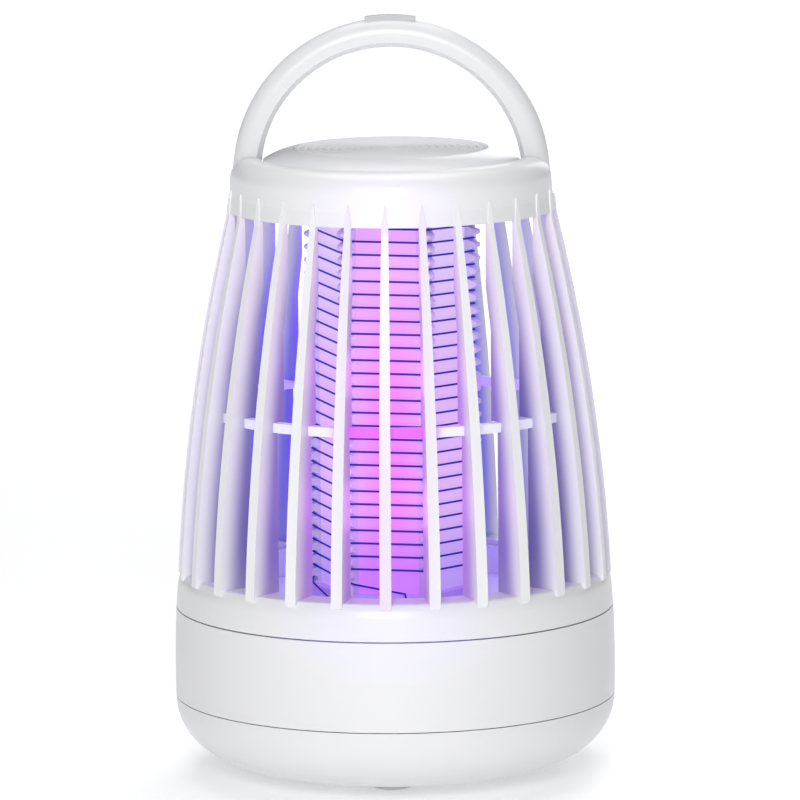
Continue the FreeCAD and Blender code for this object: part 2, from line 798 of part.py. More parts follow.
def lead_bends(corner, height):
    """A lead leaves its last notch along the next face and comes out past the skirt."""
    normal = at_azimuth(1.0, corner_azimuth(corner) + 30.0)
    along = at_azimuth(1.0, corner_azimuth(corner) + 120.0)
    bends = []
    for way, out, drop in ((3.1, 22.6, 0.5), (6.0, 23.4, 0.9), (18.5, 24.4, 3.0)):
        spot = normal * out + along * (way - size("comb_tip") / 2)
        bends.append(spot + Vector(0, 0, height - drop))
    return bends


def make_wires():
    """One wire starts half-way along the front face, the other behind the left-hand corner."""
    bend = (size("notch_radius") + size("wire_radius") + 0.05) * math.sqrt(0.75)
    middle = at_azimuth(bend, size("column_turn"), row_height(0, 2) + 0.2)
    behind = at_azimuth(bend, size("column_turn") - 120.0, row_height(1, 0) + 0.4)
    rivet_top = size("deck_top") + RIVET_HEIGHT + size("wire_radius")
    front, left = (Vector(x, y, rivet_top) for x, y in TERMINALS)
    wind_wire("grid_wire_a", 0, 2, middle, left)
    wind_wire("grid_wire_b", 1, 0, behind, front)


def make_terminals():
    """Two rivets in the deck that the leads end on."""
    rivets = []
    top = size("deck_top")
    for x, y in TERMINALS:
        head = Part.makeCylinder(2.0, RIVET_HEIGHT, Vector(x, y, top))
        shank = Part.makeCylinder(1.0, 5.0, Vector(x, y, top - 5.0))
        rivets.append(head.fuse(shank))
    group("grid_terminals", rivets)


def make_led_board():
    """Upright board in the tube's middle with ultraviolet LEDs on both faces."""
    low = size("skirt_top")
    board = box("led_plate", 12.0, 1.6, 100.0, 0, 0, low)
    as_node(board, "uv_led_board")
    leds = []
    for level in range(6):
        for side in (-1, 1):
            height = low + 12.0 + 16.0 * level
            depth = 1.0
            y = side * (0.8 + depth / 2)
            leds.append(Part.makeBox(3.5, depth, 2.8, Vector(-1.75, y - depth / 2, height)))
    group("uv_leds", leds)


# ---------------------------------------------------------------- cage


def ring_outline():
    """Outer and upper faces of the cage's bottom ring."""
    low = dim("base_top") + dim("seam_gap")
    top, outer = dim("ring_top"), dim("ring_outer")
    return [
        (dim("ring_inner"), low), (outer, low), (outer - 0.5, top - 4.2), (outer - 1.9, top - 0.5),
        (outer - 2.6, top), (dim("ring_inner"), top),
    ]


RING_ARCS = {1: 60.0, 2: 7.0, 3: 0.9}


def make_cage_ring():
    """Bottom ring of the cage: an inverted channel with three bayonet lugs inside."""
    body = new_body("cage_ring")
    revolve(body, ring_outline(), RING_ARCS)
    low = dim("base_top") + dim("seam_gap")
    wall = 2.0
    hollow = [
        (dim("ring_inner") + wall, low - 1.0), (dim("ring_outer") - 2.2, low - 1.0),
        (dim("ring_outer") - 3.2, dim("ring_top") - 4.0), (dim("ring_outer") - 5.0, dim("ring_top") - wall),
        (dim("ring_inner") + wall, dim("ring_top") - wall),
    ]
    revolve(body, hollow, kind="Groove")
    half = dim("lug_width") * 0.5
    bottom, depth = dim("lug_bottom"), dim("lug_depth")
    lug = add_outline(new_sketch(body, "XZ_Plane", dim("ring_inner") - dim("lug_reach")),
                      [(-half, bottom), (half, bottom), (half, bottom + depth), (-half, bottom + depth)])
    pad = extrude(body, lug, dim("lug_reach") + 1.0)
    repeat_round(body, [pad], SCREW_COUNT)


# radius of the hollow in a blade's side faces
BLADE_HOLLOW = -260.0


def make_cage_blades():
    """Upright blades: thick outside and thin inside, pointed above and blunt below."""
    body = new_body("cage_blades")
    low, tip = dim("blade_bottom"), dim("blade_tip")
    beyond = 80.0
    plan = [(-0.75, -46.0), (0.75, -46.0), (1.72, -68.0), (-1.72, -68.0)]
    section = add_outline(new_sketch(body, "XY_Plane", low), plan, {1: BLADE_HOLLOW, 3: BLADE_HOLLOW})
    extrude(body, section, tip - low)
    # side view: take away what lies outside the curved outer edge
    edge = dim("ring_outer")
    outside = [
        (-(edge - 1.9), low - 0.1), (-(edge - 0.55), low + 1.3),
        (-dim("blade_top_radius"), dim("cap_bottom") - 1.4), (-dim("blade_tip_radius"), tip + 0.1),
        (-beyond, tip + 0.1), (-beyond, low - 0.1),
    ]
    sketch = add_outline(new_sketch(body, "YZ_Plane"), outside, {1: -dim("blade_edge_radius")})
    extrude(body, sketch, 20.0, "Pocket", symmetric=True)
    # side view: take away what lies inside the inner edge, which steps in above the hoop
    inner, middle, inner_low = dim("blade_inner"), dim("blade_inner_middle"), dim("ring_inner")
    step = dim("mid_ring_top") - dim("mid_ring_depth") * 0.5
    inside = [
        (-30.0, low - 0.1), (-inner_low, low - 0.1), (-inner_low, step), (-middle, step),
        (-middle, dim("blade_slant_low")), (-inner, dim("blade_slant_high")), (-inner, tip + 0.1),
        (-30.0, tip + 0.1),
    ]
    extrude(body, add_outline(new_sketch(body, "YZ_Plane"), inside), 20.0, "Pocket", symmetric=True)
    # front view: narrow both ends
    for side in (-1, 1):
        for end, start, slim in ((tip, dim("cap_bottom") - 3.0, 0.12), (low, low + 1.6, 0.8)):
            points = [(side * 3.0, start), (side * 1.75, start), (side * slim, end), (side * 3.0, end)]
            wedge = add_outline(new_sketch(body, "XZ_Plane", 40.0), points)
            extrude(body, wedge, 40.0, "Pocket", backwards=True)
    repeat_round(body, [], int(size("blade_count")), whole=True)
    # rear blades stop at the ledge that the folded handle lies over
    trim = add_outline(new_sketch(body, "XY_Plane", dim("ledge")), rear_region())
    extrude(body, trim, 10.0, "Pocket", backwards=True)
    # seats for the bottom ring, the hoop and the cap
    revolve(body, ring_outline(), RING_ARCS, kind="Groove")
    top, depth = dim("mid_ring_top"), dim("mid_ring_depth")
    inside_blades = dim("mid_ring_inner") - 3.0
    hoop = [
        (inside_blades, top - depth), (dim("mid_ring_outer"), top - depth),
        (dim("mid_ring_outer"), top), (inside_blades, top),
    ]
    revolve(body, hoop, kind="Groove")
    straight_top = dim("shoulder_top") - dim("shoulder_round")
    cap = [(30.0, dim("cap_bottom")), (dim("cap_bottom_radius"), dim("cap_bottom")),
           (dim("ledge_radius"), dim("ledge")), (dim("shoulder_radius"), straight_top), (30.0, straight_top)]
    revolve(body, cap, kind="Groove")


def rear_region():
    """Plan of everything behind the cap's front shoulder."""
    front = -dim("slot_half_width")
    return [(-80.0, front), (80.0, front), (80.0, 80.0), (-80.0, 80.0)]


def pair(point):
    return as_dim(point[0]), as_dim(point[1])


def make_mid_ring():
    body = new_body("cage_mid_ring")
    top, depth = dim("mid_ring_top"), dim("mid_ring_depth")
    inner, outer = dim("mid_ring_inner"), dim("mid_ring_outer")
    revolve(body, [(inner, top - depth), (outer, top - depth), (outer, top), (inner, top)])


# ---------------------------------------------------------------- cap and handle


def make_top_cap():
    """Cap with a raised shoulder round its front half and a low ledge round the rear."""
    body = new_body("top_cap")
    top, lip, shoulder = dim("shoulder_top"), dim("lip_radius"), dim("shoulder_radius")
    bend = dim("shoulder_round")
    points = [
        (0, dim("cap_floor")), (0, dim("ledge")), (dim("lip_inner"), dim("ledge")),
        (dim("lip_inner"), top - 0.9), (lip, top), (shoulder - bend, top), (shoulder, top - bend),
        (dim("ledge_radius"), dim("ledge")), (dim("cap_bottom_radius"), dim("cap_bottom")),
        (dim("cap_bottom_radius") - 2.0, dim("cap_bottom")),
        (dim("cap_bottom_radius") - 2.4, dim("cap_floor")),
    ]
    revolve(body, points, {5: -bend})
    wall = 1.8
    hollow = [
        (-(shoulder - wall), dim("cap_floor") - 0.5), (-(dim("lip_inner") + wall), dim("cap_floor") - 0.5),
        (-(dim("lip_inner") + wall), top - wall), (-(shoulder - bend), top - wall),
        (-(shoulder - wall), top - bend),
    ]
    revolve(body, hollow, {3: bend - wall}, role="YZ_Plane", kind="Groove", angle=160.0)
    trim = add_outline(new_sketch(body, "XY_Plane", dim("ledge")), rear_region())
    extrude(body, trim, 30.0, "Pocket", backwards=True)
    hole = add_circle(new_sketch(body, "XY_Plane", dim("cap_floor") - 1.0), (0, -30.0), 1.4)
    pocket = extrude(body, hole, 5.0, "Pocket", backwards=True)
    repeat_round(body, [pocket], SCREW_COUNT)


def make_cap_dome():
    """Dome ring with a seat for the disc, three screw bosses and two pin bosses."""
    body = new_body("cap_dome")
    disc_top, disc = dim("disc_top"), dim("disc_radius") + 0.1
    seat = disc_top - dim("disc_thickness")
    outer, wall = dim("dome_radius"), dim("dome_wall")
    points = [
        (0, seat - wall), (0, seat), (disc, seat), (disc, disc_top), (outer, dim("dome_edge")),
        (outer, dim("ledge")), (outer - wall, dim("ledge")), (outer - wall, dim("dome_edge") - 1.2),
        (disc - wall, seat - wall),
    ]
    revolve(body, points, {3: -dim("dome_round")})
    boss = add_circle(new_sketch(body, "XY_Plane", dim("ledge")), (0, -30.0), 3.0)
    pad = extrude(body, boss, seat - dim("ledge") - 1.0)
    repeat_round(body, [pad], SCREW_COUNT)
    pilot = add_circle(new_sketch(body, "XY_Plane", dim("ledge") - 1.0), (0, -30.0), 1.2)
    pocket = extrude(body, pilot, 9.0, "Pocket", backwards=True)
    repeat_round(body, [pocket], SCREW_COUNT)
    pin_boss = add_circle(new_sketch(body, "YZ_Plane", 33.6), (0, dim("pivot_height")), 4.4)
    pad = extrude(body, pin_boss, 3.6)
    repeat_round(body, [pad], 2)
    hole = add_circle(new_sketch(body, "YZ_Plane", 32.0), (0, dim("pivot_height")), dim("pin_radius"))
    pocket = extrude(body, hole, 10.0, "Pocket", backwards=True)
    repeat_round(body, [pocket], 2)


def make_grooved_disc():
    """Disc with concentric grooves."""
    body = new_body("grooved_disc")
    top, radius = dim("disc_top"), dim("disc_radius")
    pitch = dim("groove_pitch")
    depth, land = 0.35, 0.45
    points = [(0, top - dim("disc_thickness")), (radius, top - dim("disc_thickness")), (radius, top)]
    grooves = int(size("disc_radius") / size("groove_pitch"))
    for ring in range(grooves, 0, -1):
        middle = pitch * ring
        points += [(middle + land, top), (middle, top - depth), (middle - land, top)]
    points.append((0, top))
    revolve(body, points)


def handle_section():
    """D-shaped section: bevelled inside, well rounded outside."""
    inner, outer = dim("handle_inner"), dim("handle_outer")
    half, bevel, bend = dim("handle_half_thickness"), dim("handle_bevel"), dim("handle_round")
    return [
        (-(half - bevel), inner), (half - bevel, inner), (half, inner + bevel), (half, outer - bend),
        (half - bend, outer), (-(half - bend), outer), (-half, outer - bend), (-half, inner + bevel),
    ], {3: bend, 5: bend}


def make_handle():
    """Arch with rounded leg ends, modelled about its own pivot axis."""
    body = new_body("handle")
    points, arcs = handle_section()
    revolve(body, points, arcs, role="YZ_Plane", angle=180.0, axis="H_Axis")
    inner, outer = dim("handle_inner"), dim("handle_outer")
    half, bevel, bend = dim("handle_half_thickness"), dim("handle_bevel"), dim("handle_round")
    end = [
        (inner, 0), (inner, half - bevel), (inner + bevel, half), (outer - bend, half),
        (outer, half - bend), (outer, 0),
    ]
    for side in (1, -1):
        points = [(x * side, y) for x, y in map(pair, end)]
        revolve(body, points, {3: -bend * side}, role="XZ_Plane", axis="H_Axis")
    revolve(body, pad_seat(), role="YZ_Plane", kind="Groove", angle=size("pad_angle"), axis="H_Axis")
    bore = add_circle(new_sketch(body, "YZ_Plane"), (0, 0), dim("pin_radius") + dim("pin_clearance"))
    extrude(body, bore, (outer - 2.0) * 2, "Pocket", symmetric=True)
    place(body, 0, 0, dim("pivot_height"))


def pad_seat():
    """Shallow seat for the pad in the handle's crown."""
    half, outer = dim("pad_half_width"), dim("handle_outer")
    return [(-half, outer - 1.2), (half, outer - 1.2), (half, outer + 1.0), (-half, outer + 1.0)]


def make_crown_pad():
    body = new_body("handle_crown_pad")
    half, outer = dim("pad_half_width"), dim("handle_outer")
    points = [(-half, outer - 1.2), (half, outer - 1.2), (half, outer + 0.4),
              (half - 0.6, outer + dim("pad_height")), (-half + 0.6, outer + dim("pad_height")),
              (-half, outer + 0.4)]
    revolve(body, points, role="YZ_Plane", angle=size("pad_angle"), axis="H_Axis")
    place(body, 0, 0, dim("pivot_height"))


def make_pins():
    """Two steel pins from the dome's bosses into the legs."""
    pins = []
    for side in (-1, 1):
        start = Vector(side * 33.8, 0, size("pivot_height"))
        pins.append(Part.makeCylinder(size("pin_radius"), 11.2, start, Vector(side, 0, 0)))
    group("handle_pivot_pins", pins)


# ---------------------------------------------------------------- build, check and write


def main():
    make_bottom_cover()
    make_base_shell()
    make_deck_plate()
    make_feet()
    make_screws("housing_screws", FOOT_COUNT, dim("foot_circle"), 9.0, 2.8, 2.2, 1.5, 14.0, True)
    make_battery()
    make_electronics()
    make_board_screws()
    make_power_button()
    make_battery_leads()
    make_column_base()
    make_lamp_diffuser()
    make_column_head()
    make_comb_posts()
    make_wires()
    make_terminals()
    make_led_board()
    column_place(make_screws("column_screws", SCREW_COUNT, COLUMN_SCREW_CIRCLE,
                             dim("deck_top") - dim("deck_thickness"), 2.8, 2.2, 1.5, 6.2, True))
    make_cage_ring()
    make_cage_blades()
    make_mid_ring()
    make_top_cap()
    make_cap_dome()
    make_grooved_disc()
    make_screws("cap_screws", SCREW_COUNT, 30.0, dim("cap_floor"), 2.4, 1.6, 1.2, 9.0, True)
    make_handle()
    make_crown_pad()
    make_pins()
    doc.recompute()
    check_and_write()


def check_and_write():
    for item in doc.Objects:
        if "Invalid" in item.State or "Error" in item.State:
            raise RuntimeError(f"{item.Label}: {item.State}")
    os.makedirs("parts", exist_ok=True)
    for node in nodes:
        shape = node.Shape
        if shape.isNull() or not shape.isValid():
            raise RuntimeError(f"{node.Label}: no valid shape")
        limits = shape.optimalBoundingBox(False)
        print(f"{node.Label:24s} solids {len(shape.Solids):3d} volume {shape.Volume:10.1f} "
              f"x {limits.XMin:7.2f} {limits.XMax:7.2f} y {limits.YMin:7.2f} {limits.YMax:7.2f} "
              f"z {limits.ZMin:7.2f} {limits.ZMax:7.2f}")
        shape.exportStep(f"parts/{node.Label}.step")


main()
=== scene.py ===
"""Looks for the lantern-style bug zapper: materials, the lamp's glow, floor, light and camera.

Lengths are in metres. The object stands at the origin with z up, and its front faces -y.
"""

import math
from functools import reduce

import bpy
from mathutils import Matrix, Vector


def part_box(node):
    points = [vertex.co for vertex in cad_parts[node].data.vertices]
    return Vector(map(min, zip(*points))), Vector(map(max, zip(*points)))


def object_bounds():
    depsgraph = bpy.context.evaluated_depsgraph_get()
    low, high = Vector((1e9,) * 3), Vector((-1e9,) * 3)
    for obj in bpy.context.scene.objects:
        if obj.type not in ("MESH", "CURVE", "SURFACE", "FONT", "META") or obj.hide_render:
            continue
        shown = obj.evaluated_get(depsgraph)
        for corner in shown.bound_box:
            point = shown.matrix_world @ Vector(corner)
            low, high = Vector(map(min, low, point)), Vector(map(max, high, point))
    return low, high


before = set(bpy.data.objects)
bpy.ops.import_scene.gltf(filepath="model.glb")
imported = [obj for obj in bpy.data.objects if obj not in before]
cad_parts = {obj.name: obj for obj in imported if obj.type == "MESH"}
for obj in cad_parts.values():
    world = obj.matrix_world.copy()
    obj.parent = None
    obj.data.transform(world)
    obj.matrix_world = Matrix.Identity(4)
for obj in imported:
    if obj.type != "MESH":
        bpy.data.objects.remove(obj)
cad_low, cad_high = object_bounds()

column_low, column_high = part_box("lamp_diffuser")
ring_low, ring_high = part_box("cage_ring")
cap_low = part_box("top_cap")[0]
column_height = column_high.z - column_low.z


# ---------------------------------------------------------------- shader helpers

CLOUD_SCALE = 38.0          # noise scales: faint clouds in the colour of plastic,
GLOSS_SCALE = 120.0         # patches in its gloss,
SKIN_SCALE = 1800.0         # its fine skin,
METAL_SCALE = 900.0         # and the polish of metal
NOISE_LOW = 0.3             # nearly all of a noise lies between these two
NOISE_HIGH = 0.7
SKIN_DEPTH = 0.0002
PLASTIC_IOR = 1.49
MIX_FIRST = 6               # colour inputs and output of a mix node
MIX_SECOND = 7
MIX_RESULT = 2


def colour(red, green, blue):
    return (red, green, blue, 1.0)


def dimmed(tint, share):
    return colour(*(share * part for part in tint[:3]))


BLACK = colour(0.0, 0.0, 0.0)


class Nodes:
    """A node tree under construction, with short ways to add nodes."""

    def __init__(self, tree):
        self.tree = tree

    def add(self, kind, **settings):
        node = self.tree.nodes.new(kind)
        for key, value in settings.items():
            setattr(node, key, value)
        return node

    def link(self, source, target):
        """Join a socket to the target, or give the target a plain value."""
        if isinstance(source, bpy.types.NodeSocket):
            self.tree.links.new(source, target)
        else:
            target.default_value = source

    def math(self, operation, *values):
        node = self.add("ShaderNodeMath", operation=operation)
        for value, socket in zip(values, node.inputs):
            self.link(value, socket)
        return node.outputs[0]

    def times(self, *values):
        return reduce(lambda first, second: self.math("MULTIPLY", first, second), values)

    def plus(self, *values):
        return reduce(lambda first, second: self.math("ADD", first, second), values)

    def split(self, vector):
        node = self.add("ShaderNodeSeparateXYZ")
        self.link(vector, node.inputs[0])
        return node.outputs

    def vector_math(self, operation, *values):
        node = self.add("ShaderNodeVectorMath", operation=operation)
        for value, socket in zip(values, node.inputs):
            self.link(value, socket)
        return node.outputs

    def between(self, value, low, high, first=0.0, last=1.0, curve="SMOOTHSTEP"):
        """First below low, last above high, and a smooth step from one to the other."""
        node = self.add("ShaderNodeMapRange", interpolation_type=curve)
        for source, name in ((value, "Value"), (low, "From Min"), (high, "From Max"),
                             (first, "To Min"), (last, "To Max")):
            self.link(source, node.inputs[name])
        return node.outputs["Result"]


class Shader(Nodes):
    """A material under construction."""

    def __init__(self, name):
        self.material = bpy.data.materials.new(name)
        self.material.use_nodes = True
        super().__init__(self.material.node_tree)
        self.surface = self.tree.nodes["Principled BSDF"]
        self.place = self.add("ShaderNodeTexCoord").outputs["Object"]
        self.normal = self.add("ShaderNodeNewGeometry").outputs["Normal"]

    def mix(self, share, first, second, blend="MIX"):
        """The first colour where the share is 0 and the second where it is 1."""
        node = self.add("ShaderNodeMix", data_type="RGBA", blend_type=blend)
        self.link(share, node.inputs["Factor"])
        self.link(first, node.inputs[MIX_FIRST])
        self.link(second, node.inputs[MIX_SECOND])
        return node.outputs[MIX_RESULT]

    def add_colours(self, first, second):
        return self.mix(1.0, first, second, blend="ADD")

    def noise(self, scale, detail=3.0):
        node = self.add("ShaderNodeTexNoise")
        self.link(scale, node.inputs["Scale"])
        self.link(detail, node.inputs["Detail"])
        self.link(self.place, node.inputs["Vector"])
        return node.outputs["Fac"]

    def blob(self, centre, reach):
        """1 at the centre and 0 beyond the reach, which is given along each axis."""
        offset = self.vector_math("SUBTRACT", self.place, centre)[0]
        scaled = self.vector_math("DIVIDE", offset, reach)[0]
        distance = self.vector_math("LENGTH", scaled)["Value"]
        return self.between(distance, 0.0, 1.0, 1.0, 0.0)

    def set(self, **values):
        """Give the surface its values by name, with _ for a space."""
        for name, value in values.items():
            self.link(value, self.surface.inputs[name.replace("_", " ")])

    def gloss(self, pattern, smoothest, roughest):
        """Roughness that follows a noise."""
        self.set(Roughness=self.between(pattern, NOISE_LOW, NOISE_HIGH, smoothest, roughest))

    def glow(self, light):
        self.set(Emission_Color=light, Emission_Strength=1.0)

    def skin(self, scale=SKIN_SCALE, strength=0.05):
        """A very fine uneven surface."""
        node = self.add("ShaderNodeBump")
        self.link(strength, node.inputs["Strength"])
        self.link(SKIN_DEPTH, node.inputs["Distance"])
        self.link(self.noise(scale, 2.0), node.inputs["Height"])
        self.link(node.outputs["Normal"], self.surface.inputs["Normal"])


def moulded(name, tint, roughness=0.36, coat=0.15, glows=()):
    """Moulded plastic: faint cloudiness, uneven gloss and a very fine skin.

    A glow is a painted patch of the lamp's light: its centre, its reach along each axis and its
    colour.
    """
    shader = Shader(name)
    shader.set(Base_Color=shader.mix(shader.noise(CLOUD_SCALE), dimmed(tint, 0.985), tint))
    shader.gloss(shader.noise(GLOSS_SCALE, 4.0), roughness - 0.02, roughness + 0.03)
    shader.set(Coat_Weight=coat, Coat_Roughness=0.18, IOR=PLASTIC_IOR)
    shader.skin(strength=0.06)
    if glows:
        patches = [shader.mix(shader.blob(centre, reach), BLACK, light)
                   for centre, reach, light in glows]
        shader.glow(reduce(shader.add_colours, patches))
    return shader.material


def finish_with(material, *names):
    """Give the material to every slot of the named CAD pieces."""
    for name in names:
        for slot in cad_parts[name].material_slots:
            slot.material = material


# ---------------------------------------------------------------- white body

WHITE = colour(0.765, 0.768, 0.78)
SEAM_TO_GLOW = 0.004        # the lamp's light is strongest this far above a piece's lower edge

seam_light = ((0.0, cad_low.y, ring_low.z + SEAM_TO_GLOW), (0.045, 0.050, 0.022),
              colour(0.02, 0.0, 0.12))
cap_light = ((0.0, cap_low.y, cap_low.z + SEAM_TO_GLOW), (0.036, 0.030, 0.020),
             colour(0.10, 0.05, 0.16))
deck_light = ((0.0, 0.0, column_low.z), (0.07, 0.07, 0.02), colour(0.12, 0.08, 0.24))

# painted lamp light: glows on the shell, ring, deck and cap, and the lavender tint in the deck's
# white
finish_with(moulded("shell_white", WHITE, glows=[seam_light]), "bottom_cover", "base_shell")
finish_with(moulded("ring_white", WHITE, 0.34, glows=[seam_light]), "cage_ring")
finish_with(moulded("deck_white", colour(0.80, 0.79, 0.88), 0.4, glows=[deck_light]), "deck_plate")
finish_with(moulded("cap_white", WHITE, glows=[cap_light]), "top_cap")
finish_with(moulded("dome_white", colour(0.70, 0.70, 0.73)), "cap_dome")
finish_with(moulded("disc_grey", colour(0.69, 0.69, 0.72), 0.6, coat=0.0), "grooved_disc")
finish_with(moulded("handle_white", colour(0.73, 0.733, 0.745), 0.34, coat=0.1), "handle")
finish_with(moulded("pad_grey", colour(0.52, 0.52, 0.54), 0.5, coat=0.0), "handle_crown_pad")


# ---------------------------------------------------------------- cage

BLADE_FOOT = 0.0650         # outer radius of the blades where they leave the ring
BLADE_TOP = 0.0494          # and under the cap
BLADE_BULGE = 0.0025        # how far the edge bulges half-way up
UNSHADED_DEPTH = 0.0005        # no painted shade on the blades this far in from their outer edge
SHADED_DEPTH = 0.0080       # painted shade is full this far in
LAMP_LEVEL = 0.42           # the lamp is brightest at this share of the column's height
LEVEL_BRIGHT = 0.020        # full light up to this height above or below the lamp's level
LEVEL_FAINT = 0.066         # and faint from this height on


class Cage(Shader):
    """A material on the cage, with each point's place measured from the column."""

    def __init__(self, name):
        super().__init__(name)
        self.x, y, self.z = self.split(self.place)
        normal_x, normal_y, _ = self.split(self.normal)
        self.across = self.math("ABSOLUTE", self.x)
        self.radius = self.math("SQRT", self.plus(self.times(self.x, self.x), self.times(y, y)))
        # 1 on a face that looks away from the column, 0 on one that stands along a radius
        along = self.plus(self.times(self.x, normal_x), self.times(y, normal_y))
        self.outward = self.math("DIVIDE", along, self.radius)
        # 1 straight in front of the column, 0 beside and behind it
        bearing = self.math("DIVIDE", y, self.radius)
        self.ahead = self.between(bearing, -0.98, -0.66, 1.0, 0.0)
        self.behind = self.between(bearing, -0.2, 0.5)
        lamp = column_low.z + LAMP_LEVEL * column_height
        off_level = self.math("ABSOLUTE", self.math("SUBTRACT", self.z, lamp))
        self.level = self.between(off_level, LEVEL_BRIGHT, LEVEL_FAINT, 1.0, 0.25)

    def before(self, full, none):
        """1 in front of the column's middle, 0 from the second distance to its side."""
        return self.times(self.ahead, self.between(self.across, full, none, 1.0, 0.0))


def blade_white():
    """White plastic blades: plain outside, with painted shade and painted lamp light towards the
    inner edge.
    """
    shader = Cage("blade_white")
    # the outer edge runs from foot to top with a slight bulge
    above_ring = shader.math("SUBTRACT", shader.z, ring_high.z)
    up = shader.math("DIVIDE", above_ring, cap_low.z - ring_high.z)
    down = shader.math("SUBTRACT", 1.0, up)
    outer = shader.plus(BLADE_TOP, shader.times(down, BLADE_FOOT - BLADE_TOP),
                        shader.times(up, down, 4 * BLADE_BULGE))
    depth = shader.math("SUBTRACT", outer, shader.radius)
    deep = shader.between(depth, UNSHADED_DEPTH, SHADED_DEPTH)
    inner = shader.times(deep, shader.between(shader.outward, 0.15, 0.6, 1.0, 0.0))

    unshaded = shader.mix(shader.noise(CLOUD_SCALE), colour(0.80, 0.80, 0.82),
                       colour(0.82, 0.82, 0.84))
    # painted lamp light: the blades in front of the column's middle turn pinkish lavender
    unshaded = shader.mix(shader.before(0.004, 0.022), unshaded, colour(0.74, 0.66, 0.79))
    # painted shade: darker towards the blades' inner edge, most at the lamp's level
    shade = shader.times(inner, shader.between(shader.level, 0.2, 1.0, 0.55, 1.0))
    shader.set(Base_Color=shader.mix(shade, unshaded, colour(0.19, 0.19, 0.34)))

    # painted lamp light on the blades: pink in front of the column and blue elsewhere, weaker at
    # the sides
    lit = shader.between(shader.math("MAXIMUM", shader.behind, shader.ahead), 0.0, 1.0, 0.22, 1.0)
    tint = shader.mix(shader.ahead, colour(0.035, 0.012, 0.40), colour(0.30, 0.10, 0.42))
    shader.glow(shader.mix(shader.times(inner, shader.level, lit), BLACK, tint))
    shader.gloss(shader.noise(GLOSS_SCALE, 4.0), 0.33, 0.38)
    shader.set(Coat_Weight=0.1, Coat_Roughness=0.2, IOR=PLASTIC_IOR)
    shader.skin()
    return shader.material


def hoop_white():
    """The hoop is white with a faint painted violet glow at the sides; in front of the column the
    lamp's pink light is painted into its colour and a glow.
    """
    shader = Cage("hoop_white")
    before = shader.before(0.011, 0.018)
    # painted lamp light: dark magenta colour and pink glow in front of the column
    shader.set(Base_Color=shader.mix(before, colour(0.80, 0.80, 0.86), colour(0.30, 0.08, 0.30)),
               Roughness=0.4)
    shader.glow(shader.mix(before, colour(0.05, 0.03, 0.14), colour(0.50, 0.06, 0.68)))
    shader.skin(1500.0)
    return shader.material


finish_with(blade_white(), "cage_blades")
finish_with(hoop_white(), "cage_mid_ring")


# ---------------------------------------------------------------- lamp column

CORE_HALF_WIDTH = 0.013     # the deep pink fades out this far from the middle of a face


def lamp_milk():
    """Milky tube over the LEDs: pink on its front and rear faces, lavender on the others."""
    shader = Shader("lamp_milk")
    x, _, z = shader.split(shader.place)
    normal_y = shader.split(shader.normal)[1]
    facing = shader.between(shader.math("ABSOLUTE", normal_y), 0.60, 0.95)
    up = shader.math("DIVIDE", shader.math("SUBTRACT", z, column_low.z), column_height)
    low_part = shader.between(up, 0.0, 0.28, 1.0, 0.0)
    high_part = shader.between(up, 0.50, 1.0)
    across = shader.between(shader.math("ABSOLUTE", x), 0.0, CORE_HALF_WIDTH, 1.0, 0.0)
    core = shader.times(across, shader.between(high_part, 0.0, 1.0, 1.0, 0.45))

    pink = shader.mix(core, colour(0.62, 0.24, 0.72), colour(0.68, 0.10, 0.70))
    pink = shader.mix(high_part, pink, colour(0.58, 0.25, 0.74))
    pink = shader.mix(low_part, pink, colour(0.44, 0.10, 0.78))
    lavender = shader.mix(high_part, colour(0.60, 0.36, 0.74), colour(0.56, 0.43, 0.74))
    lavender = shader.mix(low_part, lavender, colour(0.36, 0.24, 0.70))
    shader.set(Base_Color=colour(0.22, 0.17, 0.26), Roughness=0.38)
    shader.glow(shader.mix(facing, lavender, pink))
    shader.skin(900.0)
    return shader.material


def wire_dark():
    """Dark wires whose deep blue is painted lamp light: a blue tint in their colour and a blue
    glow.
    """
    shader = Shader("wire_dark")
    streak = shader.noise(METAL_SCALE, 4.0)
    shader.set(Base_Color=shader.mix(streak, colour(0.008, 0.003, 0.06),
                                     colour(0.014, 0.005, 0.09)), Metallic=0.4)
    shader.gloss(streak, 0.38, 0.50)
    # painted lamp light: a blue glow on the wires
    shader.glow(shader.mix(streak, colour(0.008, 0.0, 0.26), colour(0.016, 0.0, 0.33)))
    return shader.material


def steel_plated():
    """Plated steel with a fine uneven polish."""
    shader = Shader("steel_plated")
    tint = colour(0.60, 0.61, 0.64)
    streak = shader.noise(METAL_SCALE, 4.0)
    shader.set(Base_Color=shader.mix(streak, dimmed(tint, 0.8), tint), Metallic=1.0)
    shader.gloss(streak, 0.24, 0.38)
    return shader.material


column_middle = column_low.z + column_height / 2
front_light = ((0.0, column_low.y, column_middle), (0.028, 0.030, 0.075), colour(0.28, 0.06, 0.30))
column_light = ((0.0, 0.0, column_middle), (0.06, 0.06, 0.09), colour(0.10, 0.05, 0.30))
skirt_light = ((0.0, 0.0, column_low.z), (0.05, 0.05, 0.03), colour(0.22, 0.08, 0.56))

finish_with(lamp_milk(), "lamp_diffuser")
# painted lamp light: the lavender in the white comb's colour and its glows
finish_with(moulded("comb_white", colour(0.66, 0.58, 0.80), 0.4, glows=[front_light, column_light]),
            "comb_posts", "column_head")
# painted lamp light: the skirt's violet colour and its glow
finish_with(moulded("skirt_lamp_lit", colour(0.44, 0.32, 0.66), 0.4, glows=[skirt_light]),
            "column_base")
finish_with(wire_dark(), "grid_wire_a", "grid_wire_b")
finish_with(steel_plated(), "housing_screws", "pcb_screws", "column_screws", "cap_screws",
            "handle_pivot_pins", "usb_socket", "grid_terminals")


# ---------------------------------------------------------------- small and inner pieces

